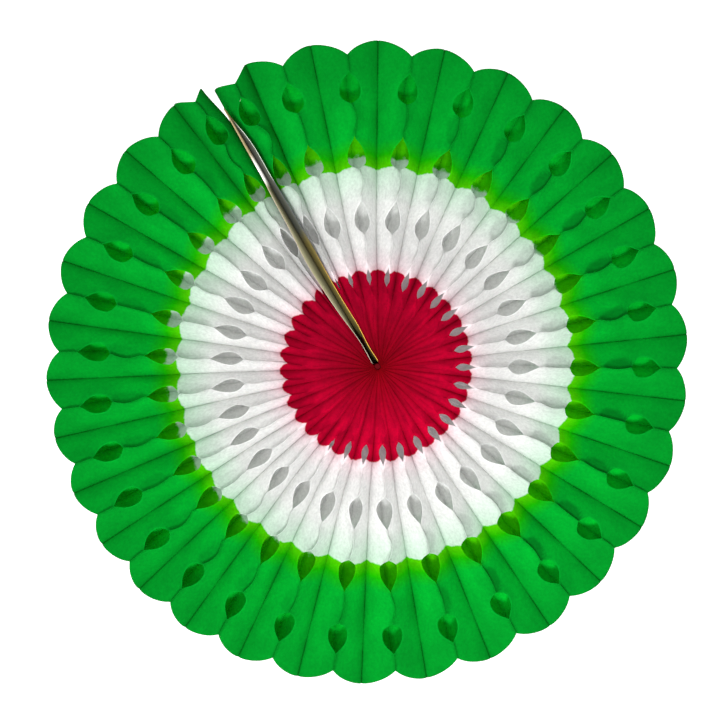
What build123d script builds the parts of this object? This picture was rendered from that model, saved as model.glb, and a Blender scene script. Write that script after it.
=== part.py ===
"""Honeycomb tissue rosette, opened to a full turn and joined at one seam between two thin cards.

The disc stands in the XZ plane with its front towards -Y. The origin is the pivot, at mid depth.
An angle is measured clockwise from +Z as the front shows it. All sizes are in millimetres.
"""

import math
import os

from build123d import *

# Disc
rim_radius = 320.0  # pivot to the top of a scallop
leaf_half_width = rim_radius * 0.11875  # glue line at mid depth to the front or back edge of a leaf
leaf_thickness = 0.3
hub_radius = 7.0  # the leaves' inner ends are bound here
glue_strip = 3.0  # width of the strip that holds two neighbouring leaves together

# Opening of the fan
seam_angle = 329.5
cell_count = 32
end_cell_angle = 7.2  # each cell beside the seam is held half shut by its card
opening_swing = 0.08  # the rosette is opened wider on one side than on the other
opening_side = 75.0
opening_ripple = 0.04
ripple_side = 150.0

# Curved outer end of a leaf
leaf_end_drop = leaf_half_width * 0.55  # a leaf is this much shorter at its front and back edges
leaf_end_power = 1.55
leaf_end_steps = 3

# Notches in the front edge: inner tip, widest place and outer tip as shares of the rim radius,
# and depth as a share of the ridge's height
notch_shares = {
    "slot": (0.231, 0.247, 0.305, 0.30),
    "seed": (0.389, 0.439, 0.495, 0.46),
    "border": (0.589, 0.616, 0.686, 0.42),
    "outer": (0.783, 0.822, 0.873, 0.42),
}
notch_edge_counts = {"slot": 1, "seed": 2, "border": 2, "outer": 2}  # from each tip to the widest place

# Facets of the twisted walls meet on the bridges between notches
rim_facet_radius = rim_radius * 0.906
blank_overhang = rim_radius * 0.025  # the walls run this far past the rim before their ends are cut
cutter_clearance = 5.0  # the shapes cut away start this far in front of the edges

# Cards at the seam
card_length = rim_radius * 0.878
card_thickness = 0.5
card_half_width = leaf_half_width * 0.947
card_gap = 0.1

# Bends of the cards: place as a share of the card's length, then how far the left and the right
# card's front and back edges stand from the seam's middle plane, as shares of the rim radius.
# The end cells start at the first.
card_bends = [
    (0.07, 0.0, 0.0),
    (0.16, 0.0135, 0.0135),
    (0.39, 0.0265, 0.0122),
    (0.64, 0.0181, 0.0166),
    (0.72, 0.0119, 0.0131),
    (0.86, 0.0100, 0.0153),
    (1.0, 0.0063, -0.0058),
]

# End leaves beyond the cards, on the left and the right side of the seam
left_parting = rim_radius * 0.028  # from the middle plane at the rim
right_parting = rim_radius * 0.004
left_shortfall = rim_radius * 0.009  # these leaves end short of the others
right_shortfall = rim_radius * 0.022

# Binding of the inner ends
binding_half_length = leaf_half_width * 0.947


front = Vector(0, -1, 0)


def radial(angle):
    """Unit vector from the pivot at a clockwise angle."""
    return Vector(math.sin(math.radians(angle)), 0, math.cos(math.radians(angle)))


def tangent(angle):
    """Unit vector across the radius, clockwise."""
    return Vector(math.cos(math.radians(angle)), 0, -math.sin(math.radians(angle)))


def glue_line_angles():
    """Angles of the glue lines between the two cells that meet at the seam."""
    first = seam_angle + end_cell_angle
    span = 360.0 - 2 * end_cell_angle
    inner_cells = cell_count - 2
    weights = []
    for i in range(inner_cells):
        place = first + (i + 0.5) * span / inner_cells
        swing = opening_swing * math.cos(math.radians(place - opening_side))
        ripple = opening_ripple * math.cos(2 * math.radians(place - ripple_side))
        weights.append(1 + swing + ripple)
    angles = [first]
    for weight in weights:
        angles.append(angles[-1] + weight * span / sum(weights))
    return angles


def mouth(radius, turn):
    """Distance of a card's edges from the seam's middle plane. turn is 1 for the right card."""
    place = min(max(radius / card_length, card_bends[0][0]), card_bends[-1][0])
    for nearer, farther in zip(card_bends, card_bends[1:]):
        if place <= farther[0]:
            break
    share = (place - nearer[0]) / (farther[0] - nearer[0])
    left = nearer[1] + share * (farther[1] - nearer[1])
    right = nearer[2] + share * (farther[2] - nearer[2])
    return card_gap / 2 + rim_radius * (right if turn > 0 else left)


def outline(*corners):
    """Closed outline with straight sides."""
    return Wire.make_polygon(corners, close=True)


def band(here, beyond, closed=True):
    """Facets between two rows of points, the second farther out.

    A row's deepest points are its front and back edges. A twisted side becomes two triangles
    that meet on a line from its glue line, nearer the pivot, to its edge.
    """
    deepest = max(abs(point.Y) for point in here)
    is_edge = [math.isclose(abs(point.Y), deepest) for point in here]
    facets = []
    for i in range(len(here) if closed else len(here) - 1):
        j = (i + 1) % len(here)
        a, b, c, d = here[i], here[j], beyond[j], beyond[i]
        if not is_edge[i] and not is_edge[j]:
            facets.append(Face(outline(a, b, c, d)))
        elif is_edge[j]:
            facets.append(Face(outline(a, b, c)))
            facets.append(Face(outline(a, c, d)))
        else:
            facets.append(Face(outline(a, b, d)))
            facets.append(Face(outline(b, c, d)))
    return facets


def tube(outer_rings, inner_rings):
    """Closed solid between an outer and an inner skin, open at both ends like a sleeve."""
    facets = []
    for rings in (outer_rings, inner_rings):
        for here, beyond in zip(rings, rings[1:]):
            facets += band(here, beyond)
    for end in (0, -1):
        facets.append(Face(outline(*outer_rings[end]), [outline(*inner_rings[end])]))
    return Solid(Shell(facets))


def facet_radii():
    """Radii where the facets of a wall meet, from the binding to beyond the rim."""
    notches = list(notch_shares.values())
    bridges = []
    for nearer, farther in zip(notches, notches[1:]):
        outer_tip, inner_tip = nearer[2], farther[0]
        bridges.append(rim_radius * (outer_tip + inner_tip) / 2)
    return [hub_radius, *bridges, rim_facet_radius, rim_radius + blank_overhang]


def ridge_height(half_opening):
    """Depth of a ridge in front of the mid plane where half a cell is this wide."""
    return math.sqrt(leaf_half_width**2 - half_opening**2)


def cell_rings(left, right, ridge):
    """Outer and inner section of a cell between two glue lines, with its ridge over one point."""
    across = (right - left).normalized()
    left_width = (ridge - left).dot(across)
    right_width = (right - ridge).dot(across)
    height = ridge_height((left_width + right_width) / 2)
    strip = glue_strip / 2
    rise = height - strip
    outer = [
        left + front * strip,
        ridge + front * height,
        right + front * strip,
        right - front * strip,
        ridge - front * height,
        left - front * strip,
    ]
    narrow = min(left_width, right_width)
    inner_height = height - leaf_thickness * math.hypot(narrow, rise) / narrow
    left_strip = strip - leaf_thickness * (math.hypot(left_width, rise) - rise) / left_width
    right_strip = strip - leaf_thickness * (math.hypot(right_width, rise) - rise) / right_width
    inner_left = left + across * leaf_thickness
    inner_right = right - across * leaf_thickness
    inner = [
        inner_left + front * left_strip,
        ridge + front * inner_height,
        inner_right + front * right_strip,
        inner_right - front * right_strip,
        ridge - front * inner_height,
        inner_left - front * left_strip,
    ]
    return outer, inner


def notch_outline(half_angle, name):
    """Outline of one notch in the plane of radius and depth, open in front of the ridge."""
    *shares, depth = notch_shares[name]
    inner_tip, widest, outer_tip = [rim_radius * share for share in shares]
    count = notch_edge_counts[name]
    stations = [inner_tip + (widest - inner_tip) * i / count for i in range(count)]
    stations += [widest + (outer_tip - widest) * i / count for i in range(count + 1)]
    points = []
    for radius in stations:
        reach = widest - inner_tip if radius < widest else outer_tip - widest
        cut = depth * (1 - ((radius - widest) / reach) ** 2)
        height = ridge_height(radius * math.sin(math.radians(half_angle)))
        points.append((radius, height * (1 - cut)))
    clear = leaf_half_width + cutter_clearance
    return [(inner_tip, clear), *points, (outer_tip, clear)]


def leaf_end_outline(half_angle, shortfall):
    """Outline of what is cut away beyond the curved end of a leaf."""
    leaf_length = rim_radius - shortfall
    height = ridge_height(leaf_length * math.sin(math.radians(half_angle)))
    points = []
    for i in range(-leaf_end_steps, leaf_end_steps + 1):
        share = i / leaf_end_steps
        drop = leaf_end_drop * abs(share) ** leaf_end_power
        points.append((leaf_length - drop, share * height))
    corner = points[0][0]
    clear = leaf_half_width + cutter_clearance
    beyond = rim_radius + blank_overhang + cutter_clearance
    return [(beyond, -clear), (corner, -clear), *points, (corner, clear), (beyond, clear)]


def make_cell(rings, ridge_angle, half_angle, shortfall=0.0):
    """One cell: two leaves joined at their front and back edges, notched and rounded."""
    outer_rings = [outer for outer, inner in rings]
    inner_rings = [inner for outer, inner in rings]
    blank = tube(outer_rings, inner_rings)
    side = Plane(origin=(0, 0, 0), x_dir=radial(ridge_angle), z_dir=tangent(ridge_angle))
    with BuildPart() as cell:
        add(blank)
        with BuildSketch(side):
            with BuildLine():
                Polyline(*leaf_end_outline(half_angle, shortfall), close=True)
            make_face()
            for name in notch_shares:
                with BuildLine():
                    Polyline(*notch_outline(half_angle, name), close=True)
                make_face()
        extrude(amount=rim_radius / 2, both=True, mode=Mode.SUBTRACT)
    return cell


def regular_rings(left_angle, right_angle):
    """Sections of a cell between two straight glue lines."""
    rings = []
    for radius in facet_radii():
        left = radial(left_angle) * radius
        right = radial(right_angle) * radius
        rings.append(cell_rings(left, right, (left + right) / 2))
    return rings


def bend_radii():
    """Distances of the cards' bends from the pivot."""
    return [card_length * place for place, left, right in card_bends]


def end_rings(glue_angle, turn):
    """Sections of a cell beside the seam. turn is 1 on the clockwise side, -1 on the other."""
    across = tangent(seam_angle) * turn
    along = radial(seam_angle)
    card_face = card_gap / 2 + card_thickness
    tip_parting = right_parting if turn > 0 else left_parting
    rings = []
    for radius in [*bend_radii(), rim_radius + blank_overhang]:
        far = radial(glue_angle) * radius
        length = far.dot(along)
        width = far.dot(across)
        parting = tip_parting * (length - card_length) / (rim_radius - card_length)
        near_width = card_face + max(parting, 0.0)
        near = along * length + across * near_width
        ridge_width = max(mouth(length, turn) + card_thickness, near_width)
        ridge = along * length + across * (width + ridge_width) / 2
        if turn > 0:
            rings.append(cell_rings(near, far, ridge))
        else:
            rings.append(cell_rings(far, near, ridge))
    return rings


def make_card(turn):
    """One card: flat where the end leaf is glued to it, its edges spread away from the seam."""
    across = tangent(seam_angle) * turn
    along = radial(seam_angle)
    rows = []
    for radius in [hub_radius, *bend_radii()]:
        spread = mouth(radius, turn)
        middle = along * radius + across * card_gap / 2
        edge = along * radius + across * spread
        rows.append([
            edge + front * card_half_width,
            middle + front * glue_strip / 2,
            middle - front * glue_strip / 2,
            edge - front * card_half_width,
        ])
    inside = []
    for here, beyond in zip(rows, rows[1:]):
        inside += band(here, beyond, closed=False)
    with BuildPart() as card:
        for facet in inside:
            extrude(facet, amount=card_thickness, dir=across)
    return card


def make_binding(glue_angles):
    """Core of wound and glued thread that holds the leaves' inner ends."""
    front = Plane(origin=(0, -binding_half_length, 0), x_dir=(1, 0, 0), z_dir=(0, 1, 0))
    corners = [front.to_local_coords(radial(angle) * hub_radius) for angle in glue_angles]
    with BuildPart() as binding:
        with BuildSketch(front):
            with BuildLine():
                Polyline(*[(corner.X, corner.Y) for corner in corners], close=True)
            make_face()
        extrude(amount=2 * binding_half_length)
    return binding


def save(piece, name):
    """Labels a finished piece and writes it."""
    piece.part.label = name
    export_step(piece.part, f"parts/{name}.step")


os.makedirs("parts", exist_ok=True)

glue_angles = glue_line_angles()

first_ridge = seam_angle + end_cell_angle / 2
first_cell = make_cell(end_rings(glue_angles[0], 1), first_ridge, end_cell_angle / 2, right_shortfall)
save(first_cell, "cell_01")

for number, (left_angle, right_angle) in enumerate(zip(glue_angles, glue_angles[1:]), start=2):
    middle = (left_angle + right_angle) / 2
    cell = make_cell(regular_rings(left_angle, right_angle), middle, right_angle - middle)
    save(cell, f"cell_{number:02d}")

last_ridge = seam_angle - end_cell_angle / 2
last_cell = make_cell(end_rings(glue_angles[-1], -1), last_ridge, end_cell_angle / 2, left_shortfall)
save(last_cell, f"cell_{cell_count:02d}")

save(make_card(1), "right_card")
save(make_card(-1), "left_card")
save(make_binding(glue_angles), "centre_binding")
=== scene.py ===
"""Honeycomb tissue rosette, dip-dyed red, white and green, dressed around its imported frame.

The disc stands in the XZ plane with its front towards -Y and its pivot at the origin. Angles
are clockwise from +Z as the front shows them. Lengths are in metres.
"""

import math
import random

import bmesh
import bpy
from bpy.props import FloatProperty, FloatVectorProperty, IntProperty, PointerProperty
from mathutils import Matrix, Vector


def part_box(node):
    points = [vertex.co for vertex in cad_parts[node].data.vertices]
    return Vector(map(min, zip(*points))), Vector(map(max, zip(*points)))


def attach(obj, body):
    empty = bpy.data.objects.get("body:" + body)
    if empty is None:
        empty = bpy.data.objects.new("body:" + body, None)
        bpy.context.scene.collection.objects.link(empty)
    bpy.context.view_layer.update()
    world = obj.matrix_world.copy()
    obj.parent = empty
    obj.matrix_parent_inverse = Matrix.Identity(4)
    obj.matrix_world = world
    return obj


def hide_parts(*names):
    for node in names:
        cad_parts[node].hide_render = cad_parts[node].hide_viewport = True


bl_info = {
    "name": "Tissue Rosette",
    "version": (1, 0, 0),
    "blender": (4, 5, 0),
    "location": "View3D > Sidebar > Rosette",
    "description": "Builds a dip-dyed honeycomb tissue rosette and its studio",
    "category": "Add Mesh",
}

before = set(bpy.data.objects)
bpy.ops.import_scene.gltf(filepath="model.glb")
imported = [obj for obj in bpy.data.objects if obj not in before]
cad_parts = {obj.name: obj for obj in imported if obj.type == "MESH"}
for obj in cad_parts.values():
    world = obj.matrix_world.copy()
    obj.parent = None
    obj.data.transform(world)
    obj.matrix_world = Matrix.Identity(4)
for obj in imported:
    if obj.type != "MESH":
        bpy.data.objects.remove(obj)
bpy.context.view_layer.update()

FRONT = Vector((0, -1, 0))
MM = 0.001

# Notches in a leaf's front edge, in mm: inner tip, widest place, outer tip, depth, and the powers
# of the cut's curve towards the two tips, 1 for a straight side and 2 for a round one
NOTCHES = (
    (71.0, 89.0, 109.0, 5.2, 2.0, 2.0),
    (125.0, 142.0, 164.5, 20.0, 2.0, 1.7),
    (188.0, 199.5, 225.0, 18.5, 1.8, 2.5),
    (252.0, 267.0, 288.0, 17.0, 2.4, 2.8),
)

# Dye bands of the tissue: distance from the pivot in mm, and the colour's name
DYE_BANDS = (
    (0, "centre"), (70, "red"), (90, "red"), (90.8, "blush"), (98, "flush"), (116, "white"),
    (160, "white"), (195, "pale"), (195.8, "lime"), (197, "lime"), (209, "leaf"), (223, "green"),
)
# Places in the bands above that a leaf's own borders are laid on
RED_STOP = 0.090
GREEN_STOP = 0.196

# Borders of the dye on the leaves: the end of the red, how much shorter it is on the ridges, the
# start of the green, how far that is shifted to one side, and the angle of that side
RED_EDGE = 0.093
RED_LOBE = 0.0075
GREEN_EDGE = 0.195
GREEN_SHIFT = 0.0027
GREEN_SHIFT_SIDE = 110

# How strong the streaks of tone are at a distance from the pivot in mm
STREAK_LEVELS = ((0, 0.5), (20, 1.0), (88, 1.0), (94, 0.15), (190, 0.15), (200, 0.5), (320, 0.4))
# Size of the streaks, how they run around and along the leaves, and how much they change the tone
STREAK_MM = 12.0
STREAK_AROUND = 0.1
STREAK_ALONG = 0.35
STREAK_CONTRAST = 0.22

# Most values of a noise lie between these, and paper's tone is spread between the second pair
NOISE_RANGE = (0.3, 0.7)
PAPER_TONES = (0.88, 1.08)

# Painted shadow: darker arches between two notches, the shadow that the leaning front edge casts
# in light from below. How far in mm past the nearer notch's outer tip they begin and past the
# farther one's inner tip they end, how dark they are inside and outside a radius, and how soft
# their border is
ARCH_MARGINS = (2, 6)
ARCH_SHADOW_DARKNESS = (0.16, 0.36)
ARCH_DARKER_FROM = 0.2
ARCH_BORDER = (-0.0012, 0.0016)
# How strong the painted shadow arches are on the leaf of a cell's left glue line and on that of its right
# one
ARCH_SHADOW_STRENGTH = {-1: 1.0, 1: 0.4}

# The red is drawn lighter by this share, most at this angle
RED_LIGHTER = 0.15
RED_LIGHTER_SIDE = 150
# Painted light: the outer part of the back halves is drawn lighter by this share, where light comes in by
# the open rim
BACK_PAINTED_LIGHT = 0.15

# Up to here the leaves lie packed at the pivot, and from here on their front edge has its full fin
PACKED_END = 0.05
FIN_FULL = 0.12
# How the leaves wave and swell
SWAY = 0.7 * MM
RIPPLE = 0.9 * MM
BULGE_MM = (0.3, 1.5)
# Lean of the front edges of the right and the left end cell, how much more they lean than the
# others, and how much closer their leaves are packed
END_LEANS = ((-0.5, -0.5, 0.1, 0.35), (-0.35, -0.5, -0.7, -0.85))
END_LEAN = 2.2
END_PACKING = 0.6

# Front edges of the cards, in mm: distance from the pivot, then how far the left and the right
# card's edge stands from the seam's middle plane
CARD_BENDS = (
    (0, 3.4, 3.9), (20, 2.3, 2.4), (29, 2.2, 2.6), (38, 3.1, 4.6), (48, 4.6, 4.1), (67, 6.6, 3.4),
    (96, 8.1, 3.4), (115, 8.7, 4.0), (134, 7.7, 4.9), (153, 6.1, 5.0), (191, 4.9, 4.9),
    (201, 3.7, 4.2), (229, 3.3, 4.9), (244, 3.0, 4.6), (258, 2.5, 2.2), (281, 2.1, -2.0),
)

# Colours along a card's face and along its cut edge: distance from the pivot in mm, and the name
CARD_REACH = 320
CARD_COLOURS = {
    "right_card": (
        # Face: the grey beyond 150 mm is painted shade. Edge: painted shadow from 148 to 198 mm and a
        # painted highlight from 206 to 255 mm
        ((0, "right_board"), (135, "right_board"), (150, "shaded"), (CARD_REACH, "shaded")),
        ((0, "right_edge"), (90, "right_edge"), (130, "right_board"), (148, "dull_edge"),
         (198, "dull_edge"), (206, "bare_edge"), (255, "bare_edge"), (266, "right_board"),
         (CARD_REACH, "right_board")),
    ),
    "left_card": (
        # Face and cut edge: a painted highlight from 206 mm to about 222 mm
        ((0, "left_board"), (198, "left_board"), (206, "painted_highlight"), (222, "painted_highlight"),
         (234, "outer_board"), (CARD_REACH, "outer_board")),
        ((0, "left_edge"), (198, "left_edge"), (206, "painted_highlight"), (220, "painted_highlight"),
         (230, "outer_board"), (CARD_REACH, "outer_board")),
    ),
}
# Grain of the board on its face and on its cut edge
FACE_GRAIN_MM = 1.6
EDGE_GRAIN_MM = 0.8


def linear(hex_colour):
    """Linear RGBA of an sRGB hex colour."""
    channels = [int(hex_colour[i : i + 2], 16) / 255 for i in (1, 3, 5)]
    light = [c / 12.92 if c <= 0.04045 else ((c + 0.055) / 1.055) ** 2.4 for c in channels]
    return (*light, 1.0)


def colour_property(name, hex_colour, description):
    """A colour that a user can pick, with its default given as sRGB hex."""
    return FloatVectorProperty(
        name=name, description=description, subtype="COLOR", size=4, min=0, max=1,
        default=linear(hex_colour),
    )


def length_property(name, value, description):
    """A length that a user can change, in metres."""
    return FloatProperty(
        name=name, description=description, unit="LENGTH", subtype="DISTANCE", default=value
    )


class RosetteSizes(bpy.types.PropertyGroup):
    """Sizes of the folded tissue."""

    rim_radius: length_property("Rim radius", 0.320, "Pivot to the top of a scallop")
    inner_radius: length_property("Inner radius", 0.003, "Where the leaves' inner ends are bound")
    leaf_half_width: length_property("Leaf half-width", 0.038, "Glue line to the front or back edge")
    leaf_thickness: length_property("Leaf thickness", 0.00012, "Drawn thickness of one leaf of tissue")
    leaf_end_drop: length_property("Leaf end drop", 0.0245, "How much shorter a leaf is at its edges")
    leaf_end_shape: FloatProperty(name="Leaf end shape", description="Power of the end's curve", default=2.0)
    end_round_start: length_property("Rounding start", 0.290, "Radius where a leaf's end starts to round")
    glue_width: length_property("Glue width", 0.003, "Width of a glued strip at mid depth")
    fin_height: length_property("Fin height", 0.0065, "Height of the glued front edge of two leaves")
    fin_lean: length_property("Fin lean", 0.0028, "How far a front edge leans between two notches")
    # Height of the painted shadow arches beside a ridge
    shadow_arch_height: length_property("Arch height", 0.0095, "Height of the darker arches beside a ridge")
    column_length: length_property("Column length", 0.0026, "Spacing of a leaf's vertices along it")
    cell_count: IntProperty(name="Cells", description="Diamond cells around the disc", default=32)
    front_rows: IntProperty(name="Front rows", description="Faces from glue line to front edge", default=12)
    back_rows: IntProperty(name="Back rows", description="Faces from glue line to back edge", default=7)
    end_cell_start: length_property("End cell start", 0.024, "Where the cells beside the seam begin")
    contact: FloatProperty(
        name="Contact", description="Share of a leaf pressed flat at the pivot", default=0.955
    )
    squeeze_end: length_property("Squeeze end", 0.045, "Up to here the cards push the leaves aside")
    left_parting: length_property("Left parting", 0.009, "Where the left end leaf stands at the rim")
    right_parting: length_property("Right parting", 0.0013, "Where the right end leaf stands at the rim")
    left_shortfall: length_property("Left shortfall", 0.003, "How much shorter the left end leaf is")
    right_shortfall: length_property("Right shortfall", 0.010, "How much shorter the right end leaf is")
    seam_angle: FloatProperty(name="Seam angle", description="Clockwise from up, degrees", default=329.5)
    end_cell_angle: FloatProperty(
        name="End cell angle", description="Opening of a cell beside the seam, degrees", default=7.2
    )
    opening_swing: FloatProperty(name="Opening swing", description="Wider opening on one side", default=0.08)
    opening_side: FloatProperty(name="Opening side", description="Angle of the widest opening", default=75.0)
    opening_ripple: FloatProperty(
        name="Opening ripple", description="Second wave of the opening", default=0.04
    )
    ripple_side: FloatProperty(name="Ripple side", description="Angle of the second wave", default=150.0)
    seed: IntProperty(name="Seed", description="Start of the random unevenness", default=7)


class TissueColours(bpy.types.PropertyGroup):
    """Dye colours of the tissue, from the pivot outwards."""

    centre: colour_property("Centre", "#7E0004", "Dark red at the pivot")
    red: colour_property("Red", "#BB002F", "Red of the middle disc")
    blush: colour_property("Blush", "#EFD6DB", "Pink that bled into the white")
    flush: colour_property("Flush", "#F3EAEC", "The last of the pink")
    white: colour_property("White", "#F1F1F0", "Undyed tissue")
    pale: colour_property("Pale", "#DAECDF", "White tinged by the green dye beside it")
    lime: colour_property("Lime", "#60D400", "Yellow-green fringe of the green dye")
    leaf: colour_property("Leaf green", "#1CC200", "Green without blue, beside the fringe")
    green: colour_property("Green", "#00BB36", "Green of the outer band")
    rim: colour_property("Rim", "#009E2C", "Green at the scallops")


class CardSizes(bpy.types.PropertyGroup):
    """Sizes and colours of the two boards at the seam."""

    inner_end: length_property("Inner end", 0.003, "Radius where a card starts")
    outer_end: length_property("Outer end", 0.281, "Radius where a card ends")
    half_width: length_property("Half-width", 0.036, "Half the width of a card")
    thickness: length_property("Thickness", 0.0005, "Board thickness")
    gap: length_property("Gap", 0.0001, "Gap between the two cards at mid depth")
    bend_radius: length_property("Bend radius", 0.010, "Length over which a bend of a card is spread")
    left_board: colour_property("Left board", "#7C795C", "Grey-olive face of the left board")
    # Painted highlight where the bent left card faces the light, on its face and cut edge
    painted_highlight: colour_property("Scuffed", "#F4F1EA", "Pale place of the left board's face")
    outer_board: colour_property("Outer board", "#A08F68", "Brown outer end of the left board's face")
    right_board: colour_property("Right board", "#574D22", "Yellowed face of the right board")
    # Painted shade on the outer half of the right board's face
    shaded: colour_property("Shaded", "#3E4038", "Grey outer half of the right board's face")
    left_edge: colour_property("Left edge", "#AD9C8B", "Cut edge of the left board")
    right_edge: colour_property("Right edge", "#D9A63E", "Yellow inner part of the right board's cut edge")
    # Painted shadow on the middle of the right board's cut edge
    dull_edge: colour_property("Dull edge", "#4A5058", "Middle of the right board's cut edge")
    # Painted highlight on the outer part of the right board's cut edge
    bare_edge: colour_property("Bare edge", "#D0DCCB", "Clean outer part of the right board's cut edge")
    thread: colour_property("Thread", "#4A0006", "Bound thread at the pivot")


class StudioSettings(bpy.types.PropertyGroup):
    """Camera and light, placed as the photograph shows them."""

    distance: length_property("Distance", 0.82, "Camera to the pivot")
    tilt: FloatProperty(name="Tilt", description="Camera off the disc's axis, degrees", default=4.9)
    tilt_side: FloatProperty(name="Tilt side", description="Side it is moved to, degrees", default=292.0)
    key_power: FloatProperty(name="Key power", description="Lamp below the front, watts", default=22.0)
    fill_power: FloatProperty(name="Fill power", description="Broad lamp in front, watts", default=48.5)
    back_power: FloatProperty(name="Back power", description="Broad lamp behind, watts", default=9.0)
    sky: FloatProperty(name="Sky", description="Strength of the even light", default=0.46)


def radial(angle):
    """Unit vector from the pivot at a clockwise angle in degrees."""
    return Vector((math.sin(math.radians(angle)), 0, math.cos(math.radians(angle))))


def tangent(angle):
    """Unit vector across the radius, clockwise."""
    return Vector((math.cos(math.radians(angle)), 0, -math.sin(math.radians(angle))))


def glue_line_angles(sizes):
    """Angles of the glue lines between the two cells that meet at the seam."""
    first = sizes.seam_angle + sizes.end_cell_angle
    span = 360.0 - 2 * sizes.end_cell_angle
    inner_cells = sizes.cell_count - 2
    weights = []
    for i in range(inner_cells):
        place = first + (i + 0.5) * span / inner_cells
        swing = sizes.opening_swing * math.cos(math.radians(place - sizes.opening_side))
        ripple = sizes.opening_ripple * math.cos(2 * math.radians(place - sizes.ripple_side))
        weights.append(1 + swing + ripple)
    angles = [first]
    for weight in weights:
        angles.append(angles[-1] + weight * span / sum(weights))
    return angles


def hump(place, start, end, height, fullness):
    """A smooth hump from start to end, zero outside."""
    share = (place - start) / (end - start)
    if share <= 0 or share >= 1:
        return 0.0
    return height * math.sin(math.pi * share) ** fullness


def bent(radius, turn):
    """Distance of a card's front edge from the seam's middle plane, with sharp bends."""
    place = min(max(radius / MM, CARD_BENDS[0][0]), CARD_BENDS[-1][0])
    for nearer, farther in zip(CARD_BENDS, CARD_BENDS[1:]):
        if place <= farther[0]:
            break
    share = (place - nearer[0]) / (farther[0] - nearer[0])
    side = 2 if turn > 0 else 1
    return MM * (nearer[side] + share * (farther[side] - nearer[side]))


def mouth(radius, card, turn):
    """Distance of a card's front edge from the middle plane. turn is 1 for the right card."""
    reaches = [radius + share * card.bend_radius for share in (-1, -0.5, 0, 0.5, 1)]
    return card.gap / 2 + sum(bent(reach, turn) for reach in reaches) / len(reaches)


def node(tree, kind, settings=None, links=None, values=None, **inputs):
    """Adds a shader node with its settings, its links and its input values.

    links and values go by a socket's number or name, and inputs by its name.
    """
    added = tree.nodes.new(kind)
    for name, value in (settings or {}).items():
        setattr(added, name, value)
    for name, value in inputs.items():
        added.inputs[name.replace("_", " ")].default_value = value
    for place, source in (links or {}).items():
        tree.links.new(source, added.inputs[place])
    for place, value in (values or {}).items():
        added.inputs[place].default_value = value
    return added


def new_material(name):
    """An empty node material and its tree."""
    material = bpy.data.materials.new(name)
    material.use_nodes = True
    material.node_tree.nodes.clear()
    return material, material.node_tree


def pattern_scale(size_mm):
    """Scale of a noise whose patches are about size_mm across."""
    return 1 / (size_mm * MM)


def set_stops(added, stops):
    """Gives a colour ramp its stops, pairs of a place and a colour."""
    elements = added.color_ramp.elements
    elements[0].position, elements[0].color = stops[0]
    elements[1].position, elements[1].color = stops[-1]
    for place, colour in stops[1:-1]:
        elements.new(place).color = colour


def streaks(tree, place, share, outer):
    """Uneven tone in streaks along the leaves: strong in the red, faint in the white.

    It is taken for an uneven soak of the dye. share is the distance from the pivot as a part of
    the rim radius, outer that radius in mm.
    """
    flat = node(
        tree, "ShaderNodeVectorMath", {"operation": "MULTIPLY"}, {0: place}, {1: (1, 0, 1)}
    ).outputs["Vector"]
    way = node(
        tree, "ShaderNodeVectorMath", {"operation": "NORMALIZE"}, {0: flat}
    ).outputs["Vector"]
    slow = node(
        tree, "ShaderNodeVectorMath", {"operation": "SCALE"}, {0: place}, Scale=STREAK_ALONG
    ).outputs["Vector"]
    turned = node(
        tree, "ShaderNodeVectorMath", {"operation": "MULTIPLY_ADD"}, {0: way, 2: slow},
        {1: (STREAK_AROUND, STREAK_AROUND, STREAK_AROUND)},
    ).outputs["Vector"]
    pattern = node(
        tree, "ShaderNodeTexNoise", links={"Vector": turned},
        Scale=pattern_scale(STREAK_MM), Detail=2.0, Roughness=0.5,
    ).outputs["Fac"]
    soak = node(
        tree, "ShaderNodeMapRange", links={"Value": pattern},
        From_Min=NOISE_RANGE[0], From_Max=NOISE_RANGE[1],
        To_Min=-STREAK_CONTRAST, To_Max=STREAK_CONTRAST,
    ).outputs["Result"]
    strength = node(tree, "ShaderNodeValToRGB", links={"Fac": share})
    levels = [(place_mm / outer, (level, level, level, 1.0)) for place_mm, level in STREAK_LEVELS]
    set_stops(strength, levels)
    return node(
        tree, "ShaderNodeMath", {"operation": "MULTIPLY_ADD"},
        {0: soak, 1: strength.outputs["Color"]}, {2: 1.0},
    ).outputs["Value"]


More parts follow.
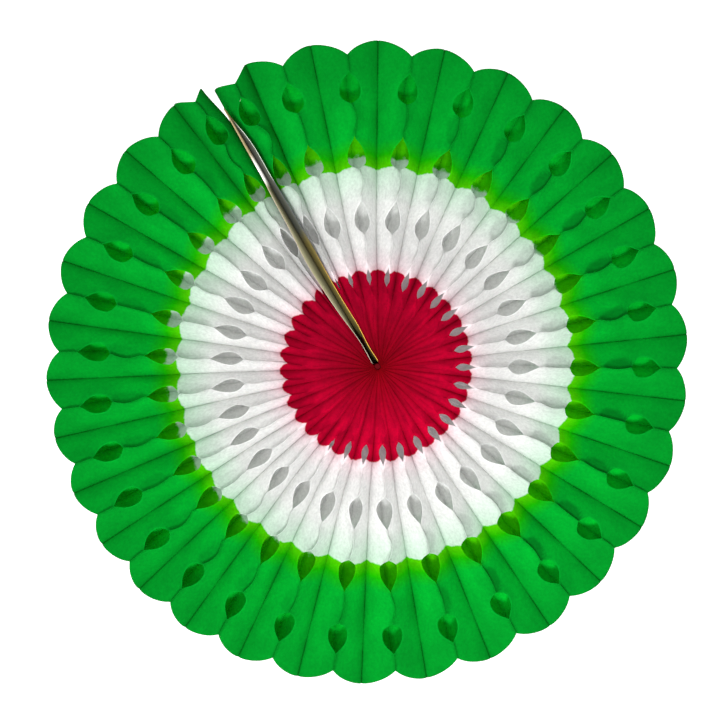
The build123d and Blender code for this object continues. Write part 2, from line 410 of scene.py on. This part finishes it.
def tissue_material(colours, rim_radius):
    """Tissue paper, dip-dyed as a folded stack.

    The bands follow the dye_place of the leaves, their borders creep along the fibres, and the
    sheet shows cloudy patches where its fibres lie thicker. It is matt, and light passes through.
    """
    material, tree = new_material("dip_dyed_tissue")
    place = node(tree, "ShaderNodeTexCoord").outputs["Object"]
    radius = node(tree, "ShaderNodeAttribute", {"attribute_name": "dye_place"}).outputs["Fac"]
    creep_width = 4 * MM
    creep = node(
        tree, "ShaderNodeTexNoise", links={"Vector": place},
        Scale=pattern_scale(7.0), Detail=4.0, Roughness=0.6,
    ).outputs["Fac"]
    creep = node(
        tree, "ShaderNodeMath", {"operation": "MULTIPLY_ADD"}, {0: creep},
        {1: creep_width, 2: -creep_width / 2},
    ).outputs["Value"]
    along = node(
        tree, "ShaderNodeMath", {"operation": "ADD"}, {0: radius, 1: creep}
    ).outputs["Value"]
    share = node(
        tree, "ShaderNodeMath", {"operation": "DIVIDE"}, {0: along}, {1: rim_radius}
    ).outputs["Value"]
    outer = rim_radius / MM
    dye = node(tree, "ShaderNodeValToRGB", links={"Fac": share})
    bands = [(place_mm / outer, tuple(getattr(colours, name))) for place_mm, name in DYE_BANDS]
    set_stops(dye, [*bands, (1.0, tuple(colours.rim))])
    cloud = node(
        tree, "ShaderNodeTexNoise", links={"Vector": place},
        Scale=pattern_scale(3.0), Detail=3.0, Roughness=0.65,
    ).outputs["Fac"]
    cloud = node(
        tree, "ShaderNodeMapRange", links={"Value": cloud},
        From_Min=NOISE_RANGE[0], From_Max=NOISE_RANGE[1],
        To_Min=PAPER_TONES[0], To_Max=PAPER_TONES[1],
    ).outputs["Result"]
    # The lightness attribute: painted shadow arches, painted light in the outer back halves, and the red
    # drawn lighter at one side
    painted_light_and_red_tone = node(tree, "ShaderNodeAttribute", {"attribute_name": "lightness"}).outputs["Fac"]
    tone = node(
        tree, "ShaderNodeMath", {"operation": "MULTIPLY"}, {0: cloud, 1: painted_light_and_red_tone}
    ).outputs["Value"]
    tone = node(
        tree, "ShaderNodeMath", {"operation": "MULTIPLY"},
        {0: tone, 1: streaks(tree, place, share, outer)},
    ).outputs["Value"]
    tinted = node(
        tree, "ShaderNodeVectorMath", {"operation": "SCALE"}, {0: dye.outputs["Color"], "Scale": tone}
    ).outputs["Vector"]
    fibre = node(
        tree, "ShaderNodeTexNoise", links={"Vector": place},
        Scale=pattern_scale(0.9), Detail=2.0, Roughness=0.5,
    ).outputs["Fac"]
    bump = node(
        tree, "ShaderNodeBump", links={"Height": fibre}, Strength=0.12, Distance=0.2 * MM
    ).outputs["Normal"]
    surface = node(
        tree, "ShaderNodeBsdfPrincipled", links={"Base Color": tinted, "Normal": bump},
        Roughness=0.9, Specular_IOR_Level=0.05,
    ).outputs["BSDF"]
    through = node(
        tree, "ShaderNodeBsdfTranslucent", links={"Color": tinted, "Normal": bump}
    ).outputs["BSDF"]
    mixed = node(tree, "ShaderNodeMixShader", links={1: surface, 2: through}, Fac=0.58)
    node(tree, "ShaderNodeOutputMaterial", links={"Surface": mixed.outputs["Shader"]})
    return material


def board_material(name, stops, grain_mm):
    """Uncoated chipboard: dull, short dark and light fibres pressed into a sheet.

    stops are pairs of a distance from the pivot in mm and a colour, up to CARD_REACH.
    """
    material, tree = new_material(name)
    place = node(tree, "ShaderNodeTexCoord").outputs["Object"]
    grain = node(
        tree, "ShaderNodeTexNoise", links={"Vector": place},
        Scale=pattern_scale(grain_mm), Detail=5.0, Roughness=0.7,
    ).outputs["Fac"]
    tone = node(
        tree, "ShaderNodeMapRange", links={"Value": grain},
        From_Min=NOISE_RANGE[0], From_Max=NOISE_RANGE[1],
        To_Min=PAPER_TONES[0], To_Max=PAPER_TONES[1],
    ).outputs["Result"]
    flat = node(
        tree, "ShaderNodeVectorMath", {"operation": "MULTIPLY"}, {0: place}, {1: (1, 0, 1)}
    ).outputs["Vector"]
    distance = node(
        tree, "ShaderNodeVectorMath", {"operation": "LENGTH"}, {0: flat}
    ).outputs["Value"]
    share = node(
        tree, "ShaderNodeMath", {"operation": "DIVIDE"}, {0: distance}, {1: CARD_REACH * MM}
    ).outputs["Value"]
    base = node(tree, "ShaderNodeValToRGB", links={"Fac": share})
    set_stops(base, [(place_mm / CARD_REACH, colour) for place_mm, colour in stops])
    mottled = node(
        tree, "ShaderNodeVectorMath", {"operation": "SCALE"},
        {0: base.outputs["Color"], "Scale": tone},
    ).outputs["Vector"]
    bump = node(
        tree, "ShaderNodeBump", links={"Height": grain}, Strength=0.2, Distance=0.1 * MM
    ).outputs["Normal"]
    surface = node(
        tree, "ShaderNodeBsdfPrincipled", links={"Base Color": mottled, "Normal": bump},
        Roughness=0.75, Specular_IOR_Level=0.3,
    )
    node(tree, "ShaderNodeOutputMaterial", links={"Surface": surface.outputs["BSDF"]})
    return material


def thread_material(name, colour):
    """Thread soaked with glue, dull and dark."""
    material, tree = new_material(name)
    surface = node(
        tree, "ShaderNodeBsdfPrincipled", Roughness=0.8, Base_Color=tuple(colour),
        Specular_IOR_Level=0.05,
    )
    node(tree, "ShaderNodeOutputMaterial", links={"Surface": surface.outputs["BSDF"]})
    return material


def stage_material(name, colour, glow):
    """Seamless paper of a studio, plain and pale, with enough glow to stay white behind the disc."""
    material, tree = new_material(name)
    surface = node(
        tree, "ShaderNodeBsdfPrincipled", Roughness=0.9, Base_Color=colour,
        Emission_Color=colour, Emission_Strength=glow,
    )
    node(tree, "ShaderNodeOutputMaterial", links={"Surface": surface.outputs["BSDF"]})
    return material


def add_object(name, bm, materials):
    """Turns a bmesh into an object of the scene, with its materials."""
    mesh = bpy.data.meshes.new(name)
    bm.to_mesh(mesh)
    bm.free()
    for material in materials:
        mesh.materials.append(material)
    made = bpy.data.objects.new(name, mesh)
    bpy.context.scene.collection.objects.link(made)
    return made


def thicken(piece, thickness):
    """Gives a sheet its thickness on its inner side."""
    solid = piece.modifiers.new("thickness", "SOLIDIFY")
    solid.thickness = thickness
    solid.offset = -1
    return solid


def turned_share(angle, sizes):
    """Share of the full turn, clockwise from the seam, at an angle."""
    return (angle - sizes.seam_angle) % 360 / 360


def cell_notches(angle, sizes):
    """The notches of a cell. The innermost ones are shallower on one side, as the photograph shows."""
    turn = turned_share(angle, sizes)
    deeper = smooth_step(turn, 0.02, 0.2)
    shallower = smooth_step(turn, 0.60, 0.88)
    share = (0.89 + 0.12 * deeper) * (1 - 0.85 * shallower)
    inner_tip, widest, outer_tip, depth, *powers = NOTCHES[0]
    slot_tip = widest - (widest - inner_tip) * min(share, 0.97) ** 3
    return ((slot_tip, widest, outer_tip, depth * share, *powers), *NOTCHES[1:])


def columns_along(sizes, start, notches):
    """Distances from the pivot of a leaf's columns, with one at each notch's tips and widest place."""
    knots = [start]
    for inner_tip, widest, outer_tip, *_ in notches:
        knots += [inner_tip * MM, widest * MM, outer_tip * MM]
    knots += [sizes.end_round_start, sizes.rim_radius]
    places = [knots[0]]
    for here, beyond in zip(knots, knots[1:]):
        count = max(1, round((beyond - here) / sizes.column_length))
        places += [here + (beyond - here) * i / count for i in range(1, count + 1)]
    return places


def notch_depth(place, notches):
    """How far the front edge is cut back at a distance from the pivot."""
    for inner_tip, widest, outer_tip, depth, inner_power, outer_power in notches:
        if inner_tip * MM < place < outer_tip * MM:
            if place < widest * MM:
                return depth * MM * (1 - ((widest - place / MM) / (widest - inner_tip)) ** inner_power)
            return depth * MM * (1 - ((place / MM - widest) / (outer_tip - widest)) ** outer_power)
    return 0.0


def rounded(place, across, sizes):
    """Moves a place near a leaf's outer end inwards, so that the end is an arc."""
    if place <= sizes.end_round_start:
        return place
    drop = sizes.leaf_end_drop * (across / sizes.leaf_half_width) ** sizes.leaf_end_shape
    reach = sizes.rim_radius - sizes.end_round_start
    return sizes.end_round_start + (place - sizes.end_round_start) * (reach - drop) / reach


def back_painted_light(place):
    """How light a point of a back half is drawn: lighter in its outer part, as the holes show it, as painted
    light that comes in by the open rim.
    """
    return 1 + BACK_PAINTED_LIGHT * smooth_step(place, 0.222, 0.255)


def lightness(place, beside, notches, sizes):
    """How light a point of a front half is drawn, at a distance from the pivot and beside the ridge.

    It is 1 but for an arch between two notches, where the photograph is darker. There it paints the
    shadow that the leaning front edge casts in light from below. That is taken for tissue lying
    double under the leaning front edge, though it may be shadow.
    """
    for nearer, farther in zip(notches[1:], notches[2:]):
        start = (nearer[2] + ARCH_MARGINS[0]) * MM
        end = (farther[0] + ARCH_MARGINS[1]) * MM
        share = (2 * place - start - end) / (end - start)
        if abs(share) < 1:
            arch = sizes.shadow_arch_height * math.sqrt(1 - share * share)
            darkest = ARCH_SHADOW_DARKNESS[0] if place < ARCH_DARKER_FROM else ARCH_SHADOW_DARKNESS[1]
            return 1 - darkest * smooth_step(arch - beside, *ARCH_BORDER)
    return 1.0


def wander(generator, strength):
    """A gentle uneven wave along a leaf, from a few seeded sines."""
    waves = [(generator.uniform(0.045, 0.14), generator.uniform(0, 2 * math.pi)) for _ in range(3)]
    return lambda place: strength * sum(math.sin(2 * math.pi * place / w + p) for w, p in waves) / 3


def smooth_step(value, low, high):
    """0 below low, 1 above high, smooth between."""
    share = min(max((value - low) / (high - low), 0), 1)
    return share * share * (3 - 2 * share)


def cell_profile(share, place, sizes, packing, in_front):
    """How far a leaf has crossed from its glue line (0) to the ridge (1), share of the way along it.

    Near the pivot the leaves are packed, so they cross close to their front and back edges.
    Farther out they sweep over in an S. Both stand upright where they are glued together.
    """
    strip = sizes.glue_width / 2 / sizes.leaf_half_width
    strip += sizes.contact * (1 - smooth_step(place, PACKED_END, 0.145))
    fin = sizes.fin_height / sizes.leaf_half_width * smooth_step(place, PACKED_END, FIN_FULL)
    free = min(max((share - strip) / (1 - strip - fin), 0), 1)
    packed = 0.3 * free + 0.7 * free ** (1.2 + 2 * smooth_step(place, PACKED_END, 0.08))
    swept = free - 0.15 * math.sin(2 * math.pi * free) / (2 * math.pi) if in_front else free**1.5
    blend = smooth_step(place, 0.06, 0.13) * (1 - packing)
    return packed + (swept - packed) * blend, math.sin(math.pi * free)


def dye_place(point, crossed, sizes):
    """Where a point of the tissue lies among the dye bands, as a radius in metres.

    In front the red reaches farther along the glued strips (crossed 0) than along the ridges
    (crossed 1). The back half is a guess from what shows through the holes: less red and a wider
    white band.
    """
    angle = math.degrees(math.atan2(point.x, point.z))
    turn = turned_share(angle, sizes)
    radius = math.hypot(point.x, point.z)
    radius += (0.0017 if radius > 0.14 else 0.0) * math.exp(-((point.y / 0.008) ** 2))
    behind = smooth_step(point.y, -0.004, 0.018)
    lobe = RED_LOBE * (crossed if point.y < 0 else 0) ** 2
    red = RED_EDGE - lobe + behind * (0.022 * turn**4 - 0.017)
    shift = GREEN_SHIFT * math.cos(math.radians(angle - GREEN_SHIFT_SIDE))
    green = GREEN_EDGE + shift * (1 - behind)
    green += behind * (0.012 + 0.005 * math.cos(2 * math.pi * turn))
    if radius < red:
        return radius + RED_STOP - red
    if radius > green:
        return GREEN_STOP + radius - green - 0.8 * behind * min(radius - green, 0.045)
    return RED_STOP + (radius - red) * (GREEN_STOP - RED_STOP) / (green - red)


def red_lightness(point, dyed):
    """How light the red is drawn around the disc, lightest at one side, and 1 outside the red."""
    turn = math.atan2(point.x, point.z) - math.radians(RED_LIGHTER_SIDE)
    return 1 + RED_LIGHTER * (math.cos(turn) + 0.25) * (1 - smooth_step(dyed, 0.080, 0.0895))


def add_leaf(bm, sizes, start, notches, glue, far_glue, ridge, aside, shorten, waves, packing, above):
    """Adds one leaf between its glue line and the cell's ridge.

    glue, far_glue and ridge give points of the disc's plane at a distance from the pivot, aside
    is how far a card pushes the leaf, and shorten moves a point near the rim towards the pivot.
    above is how strongly the painted shadow arches are drawn on the leaf.
    """
    places = columns_along(sizes, start, notches)
    rows = sizes.front_rows + sizes.back_rows
    grid = bmesh.ops.create_grid(bm, x_segments=len(places) - 1, y_segments=rows, size=1.0)
    bulge, ripple = waves
    dye_layer = bm.verts.layers.float["dye_place"]
    light_layer = bm.verts.layers.float["lightness"]
    for vert in grid["verts"]:
        column = round((vert.co.x + 1) / 2 * (len(places) - 1))
        row = round((vert.co.y + 1) / 2 * rows)
        place = places[column]
        if row <= sizes.front_rows:
            raised = 0.3 + 0.7 * smooth_step(place, PACKED_END, FIN_FULL)
            fin = sizes.fin_height / sizes.leaf_half_width * raised
            rest = (1 - fin) * (1 - (row - 2) / (sizes.front_rows - 2))
            share = 1 - fin * row / 2 if row < 2 else rest
            across = share * (sizes.leaf_half_width - notch_depth(place, notches))
            side = FRONT
        else:
            share = (row - sizes.front_rows) / sizes.back_rows
            across = share * sizes.leaf_half_width
            side = -FRONT
        place = rounded(place, across, sizes)
        peak = ridge(place, row <= sizes.front_rows)
        reach = peak - glue(place)
        half = (reach.length + (far_glue(place) - peak).length) / 2
        crossed, belly = cell_profile(
            across / sizes.leaf_half_width, place, sizes, packing, row <= sizes.front_rows
        )
        height = math.sqrt(max(sizes.leaf_half_width**2 - half**2, 0))
        out = (-reach.normalized() * height + side * half).normalized()
        swell = belly * (bulge + ripple(place + 0.7 * across)) * smooth_step(place, PACKED_END, 0.15)
        depth = side * height * across / sizes.leaf_half_width
        vert.co = glue(place) + reach * crossed + depth + out * swell
        vert.co += aside(place) * (1 - crossed) * (across / sizes.leaf_half_width)
        vert.co = shorten(vert.co, place)
        vert[dye_layer] = dye_place(vert.co, crossed, sizes)
        # Front halves get the painted shadow arches beside the ridge
        if side == FRONT:
            beside = reach.length * (1 - crossed)
            light = 1 - (1 - lightness(place, beside, notches, sizes)) * above
        else:
            light = back_painted_light(place)
        vert[light_layer] = light * red_lightness(vert.co, vert[dye_layer])
    for vert in grid["verts"]:
        for face in vert.link_faces:
            face.smooth = True
    return grid["verts"]


def signed_turn(angle, seam_angle):
    """Angle from the seam, between -180 and 180 degrees."""
    return (angle - seam_angle + 180) % 360 - 180


def glue_point(angle, sizes, card):
    """Point of a glue line at a distance, pushed aside by the cards beside the pivot."""
    turn = signed_turn(angle, sizes.seam_angle)

    def point(s):
        if s > sizes.squeeze_end:
            return radial(angle) * s
        taken = math.degrees(math.atan2(mouth(s, card, turn) + 1.5 * card.thickness, s))
        squeeze = max(taken - 0.9 * sizes.end_cell_angle, 0)
        squeeze *= smooth_step(sizes.squeeze_end - s, 0, 0.012)
        return radial(angle + math.copysign(squeeze * (1 - abs(turn) / 180), turn)) * s

    return point


def cell_lines(number, sizes, card, angles):
    """Lines of a cell as functions of the distance from the pivot.

    They are its two glue lines, the line half-way, and how far a card pushes its left and its
    right leaf at their edges.
    """
    last = sizes.cell_count - 1

    def free(s):
        return Vector((0, 0, 0))

    if 0 < number < last:
        left = glue_point(angles[number - 1], sizes, card)
        right = glue_point(angles[number], sizes, card)
        return left, right, (lambda s: (left(s) + right(s)) / 2), free, free
    turn = 1 if number == 0 else -1
    glued = glue_point(angles[0] if number == 0 else angles[-1], sizes, card)
    along, across = radial(sizes.seam_angle), tangent(sizes.seam_angle) * turn
    face = card.gap / 2 + card.thickness
    parting = sizes.right_parting if turn > 0 else sizes.left_parting

    def offset(s):
        return face + parting * smooth_step(s, card.outer_end - 0.012, sizes.rim_radius + 0.01)

    def near(s):
        return along * s + across * offset(s)

    def middle(s):
        width = glued(s).dot(across)
        spread = min(max(mouth(s, card, turn) + card.thickness, offset(s)), width * 0.8)
        return along * s + across * (width + spread) / 2

    def pushed(s):
        if s > card.outer_end:
            return free(s)
        return across * max(mouth(s, card, turn) - card.gap / 2, 0)

    if turn > 0:
        return near, glued, middle, pushed, free
    return glued, near, middle, free, pushed


def front_lean(place, angle, amounts, notches, sizes):
    """How far a front edge leans clockwise, most in the middle between two notches."""
    tips = [(0.045, notches[0][0] * MM)]
    tips += [(nearer[2] * MM, farther[0] * MM) for nearer, farther in zip(notches, notches[1:])]
    side = math.cos(math.radians(angle - 35))
    lean = 0.0
    for (inner, outer), amount in zip(tips, amounts):
        freedom = smooth_step(outer - inner, 0.010, 0.026)
        lean += hump(place, inner, outer, sizes.fin_lean * (side + amount) * freedom, 1.0)
    return lean


class ROSETTE_OT_cells(bpy.types.Operator):
    """Build the tissue cells, each of two leaves glued along their front and back edges"""

    bl_idname = "rosette.cells"
    bl_label = "Tissue Cells"

    def execute(self, context):
        sizes, card = context.scene.rosette_sizes, context.scene.rosette_card
        tissue = tissue_material(context.scene.rosette_colours, sizes.rim_radius)
        angles = glue_line_angles(sizes)
        for number in range(sizes.cell_count):
            generator = random.Random(sizes.seed * 100 + number)
            left, right, middle, push_left, push_right = cell_lines(number, sizes, card, angles)
            sway = wander(generator, SWAY)
            amounts = [generator.uniform(-0.5, 0.5) for _ in NOTCHES]
            at_seam = number in (0, sizes.cell_count - 1)
            shortfall = 0.0
            if at_seam:
                amounts = END_LEANS[0] if number == 0 else END_LEANS[1]
                shortfall = sizes.right_shortfall if number == 0 else sizes.left_shortfall
            start = sizes.end_cell_start if at_seam else sizes.inner_radius
            far = middle(sizes.rim_radius)
            angle = math.degrees(math.atan2(far.x, far.z))
            notches = cell_notches(angle, sizes)

            def ridge(s, in_front):
                """Point of the front or the back ridge. Only the front one leans."""
                across = (right(s) - left(s)).normalized()
                lean = 0.0
                if in_front:
                    lean = front_lean(s, angle, amounts, notches, sizes) * (END_LEAN if at_seam else 1)
                return middle(s) + across * (lean + sway(s) * smooth_step(s, 0.03, 0.12))

            def shorten(point, s):
                """Pulls a point of an end leaf inwards, most beside the seam."""
                if not shortfall:
                    return point
                turned = abs(signed_turn(math.degrees(math.atan2(point.x, point.z)), sizes.seam_angle))
                share = max(1 - turned / sizes.end_cell_angle, 0) ** 0.6
                rise = smooth_step(s, 0.27, sizes.rim_radius)
                return point - radial(angle) * shortfall * share * rise

            bm = bmesh.new()
            bm.verts.layers.float.new("dye_place")
            bm.verts.layers.float.new("lightness")
            leaves = ((left, right, push_left, -1), (right, left, push_right, 1))
            for glue, far_glue, aside, outward in leaves:
                waves = generator.uniform(*BULGE_MM) * MM, wander(generator, RIPPLE)
                packing = END_PACKING if at_seam else 0.0
                # Painted shadow arches, strongest on the leaf whose flank faces up, away from the lamp below
                above = smooth_step(-outward * math.sin(math.radians(angle)), -0.25, 0.75)
                above *= 0.0 if at_seam else ARCH_SHADOW_STRENGTH[outward]
                verts = add_leaf(
                    bm, sizes, start, notches, glue, far_glue, ridge, aside, shorten, waves,
                    packing, above,
                )
                if outward < 0:
                    faces = {face for vert in verts for face in vert.link_faces}
                    bmesh.ops.reverse_faces(bm, faces=list(faces))
            name = f"cell_{number + 1:02d}"
            cell = add_object("tissue_" + name, bm, [tissue])
            thicken(cell, sizes.leaf_thickness)
            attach(cell, "root")
            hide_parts(name)
        return {"FINISHED"}


class ROSETTE_OT_cards(bpy.types.Operator):
    """Build the two boards at the seam, flat where they are glued and spread at their edges"""

    bl_idname = "rosette.cards"
    bl_label = "Seam Cards"

    def execute(self, context):
        sizes, card = context.scene.rosette_sizes, context.scene.rosette_card
        along = radial(sizes.seam_angle)
        for name, turn in (("right_card", 1), ("left_card", -1)):
            across = tangent(sizes.seam_angle) * turn
            bm = bmesh.new()
            grid = bmesh.ops.create_grid(bm, x_segments=110, y_segments=16, size=1.0)
            for vert in grid["verts"]:
                place = card.inner_end + (vert.co.x + 1) / 2 * (card.outer_end - card.inner_end)
                share = vert.co.y
                flat = sizes.glue_width / 2 / card.half_width
                open_share = max(abs(share) - flat, 0) / (1 - flat)
                curl = 0.3 + 3.6 * smooth_step(place, 0.028, 0.06)
                if turn < 0:
                    curl += hump(place, 0.196, 0.285, 5.0, 0.5)
                spread = card.gap / 2 + (mouth(place, card, turn) - card.gap / 2) * open_share**curl
                vert.co = along * place + across * spread + FRONT * share * card.half_width
            for face in bm.faces:
                face.smooth = True
            if turn < 0:
                bmesh.ops.reverse_faces(bm, faces=bm.faces[:])
            face, edge = [
                [(place_mm, tuple(getattr(card, colour))) for place_mm, colour in listed]
                for listed in CARD_COLOURS[name]
            ]
            piece = add_object("board_" + name, bm, [
                board_material(name + "_face", face, FACE_GRAIN_MM),
                board_material(name + "_edge", edge, EDGE_GRAIN_MM),
            ])
            solid = thicken(piece, card.thickness)
            solid.material_offset_rim = 1
            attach(piece, "root")
            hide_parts(name)
        return {"FINISHED"}


class ROSETTE_OT_binding(bpy.types.Operator):
    """Build the wound thread at the pivot that binds the leaves' inner ends"""

    bl_idname = "rosette.binding"
    bl_label = "Centre Binding"

    def execute(self, context):
        sizes, card = context.scene.rosette_sizes, context.scene.rosette_card
        low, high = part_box("centre_binding")
        thread = thread_material("glued_thread", card.thread)
        bm = bmesh.new()
        ring = bmesh.ops.create_circle(bm, cap_ends=True, segments=24, radius=sizes.inner_radius * 0.9)
        bmesh.ops.rotate(bm, verts=ring["verts"], matrix=Matrix.Rotation(math.radians(90), 3, "X"))
        half = (high[1] - low[1]) / 2
        bmesh.ops.translate(bm, verts=bm.verts[:], vec=(0, -half, 0))
        steps, groove = 90, 0.88
        for step in range(steps):
            top = bm.faces[:][0]
            if step:
                top = max(bm.faces, key=lambda face: face.calc_center_median().y)
            grown = bmesh.ops.extrude_face_region(bm, geom=[top])
            verts = [item for item in grown["geom"] if isinstance(item, bmesh.types.BMVert)]
            if step:
                bmesh.ops.delete(bm, geom=[top], context="FACES_ONLY")
            bmesh.ops.translate(bm, verts=verts, vec=(0, 2 * half / steps, 0))
            scale = groove if step % 2 == 0 else 1 / groove
            bmesh.ops.scale(bm, verts=verts, vec=(scale, 1, scale))
        bmesh.ops.recalc_face_normals(bm, faces=bm.faces[:])
        piece = add_object("thread_binding", bm, [thread])
        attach(piece, "root")
        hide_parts("centre_binding")
        return {"FINISHED"}


def add_lamp(name, place, target, power, size):
    """Adds a square area lamp that points at a target."""
    data = bpy.data.lights.new(name, "AREA")
    data.energy = power
    data.size = size
    lamp = bpy.data.objects.new(name, data)
    lamp.location = place
    lamp.visible_camera = False
    lamp.rotation_euler = (Vector(target) - Vector(place)).to_track_quat("-Z", "Y").to_euler()
    bpy.context.scene.collection.objects.link(lamp)


class ROSETTE_OT_studio(bpy.types.Operator):
    """Build the pale sweep, the lamps and the camera"""

    bl_idname = "rosette.studio"
    bl_label = "Studio"

    def execute(self, context):
        studio = context.scene.rosette_studio
        bm = bmesh.new()
        grid = bmesh.ops.create_grid(bm, x_segments=2, y_segments=24, size=1.0)
        floor, back, corner = -1.5, 1.6, 0.5
        half_length, half_width, near_end = 4.8, 4.5, 3.5
        for vert in grid["verts"]:
            run = (vert.co.y + 1) * half_length - near_end
            turn = min(max((run - back + corner) / (corner * math.pi / 2), 0), 1) * math.pi / 2
            flat = min(run, back - corner)
            rise = max(run - (back - corner) - corner * math.pi / 2, 0)
            height = floor + corner * (1 - math.cos(turn)) + rise
            vert.co = Vector((vert.co.x * half_width, flat + corner * math.sin(turn), height))
        for face in bm.faces:
            face.smooth = True
        paper = stage_material("seamless_paper", linear("#FFFFFF"), 0.6)
        sweep = add_object("paper_sweep", bm, [paper])
        sweep.visible_diffuse = False
        sweep.visible_transmission = False

        world = bpy.data.worlds.new("even_light")
        world.use_nodes = True
        sky = world.node_tree.nodes["Background"]
        sky.inputs["Color"].default_value = (1, 1, 1, 1)
        sky.inputs["Strength"].default_value = studio.sky
        context.scene.world = world
        add_lamp("key_lamp", (-0.05, -1.3, -0.46), (0, 0, 0), studio.key_power, 0.15)
        add_lamp("fill_lamp", (-0.8, -2.3, 0.2), (0, 0, 0), studio.fill_power, 1.8)
        add_lamp("back_lamp", (0, 1.2, 0), (0, 0, 0), studio.back_power, 1.6)

        data = bpy.data.cameras.new("camera")
        data.sensor_fit = "HORIZONTAL"
        data.sensor_width = 36.0
        frame_width = 0.715
        data.lens = data.sensor_width * studio.distance / frame_width
        camera = bpy.data.objects.new("camera", data)
        tilt = math.radians(studio.tilt)
        way = FRONT * math.cos(tilt) + radial(studio.tilt_side) * math.sin(tilt)
        camera.location = studio.distance * way
        target = Vector((-0.0155, 0, 0.0029))
        camera.rotation_euler = (target - camera.location).to_track_quat("-Z", "Y").to_euler()
        context.scene.collection.objects.link(camera)
        context.scene.camera = camera
        context.scene.view_settings.view_transform = "Standard"
        return {"FINISHED"}


class ROSETTE_PT_panel(bpy.types.Panel):
    """Lists the rosette's pieces"""

    bl_label = "Tissue Rosette"
    bl_idname = "ROSETTE_PT_panel"
    bl_space_type = "VIEW_3D"
    bl_region_type = "UI"
    bl_category = "Rosette"

    def draw(self, context):
        for operator in OPERATORS:
            self.layout.operator(operator.bl_idname)


OPERATORS = (ROSETTE_OT_cells, ROSETTE_OT_cards, ROSETTE_OT_binding, ROSETTE_OT_studio)
SETTINGS = {
    "rosette_sizes": RosetteSizes,
    "rosette_colours": TissueColours,
    "rosette_card": CardSizes,
    "rosette_studio": StudioSettings,
}


def register():
    for group in (*SETTINGS.values(), *OPERATORS, ROSETTE_PT_panel):
        bpy.utils.register_class(group)
    for name, group in SETTINGS.items():
        setattr(bpy.types.Scene, name, PointerProperty(type=group))


def unregister():
    for name in SETTINGS:
        delattr(bpy.types.Scene, name)
    for group in (ROSETTE_PT_panel, *reversed(OPERATORS), *reversed(SETTINGS.values())):
        bpy.utils.unregister_class(group)


def main():
    """Builds everything in order."""
    register()
    bpy.ops.rosette.cells()
    bpy.ops.rosette.cards()
    bpy.ops.rosette.binding()
    bpy.ops.rosette.studio()


if __name__ == "__main__":
    main()
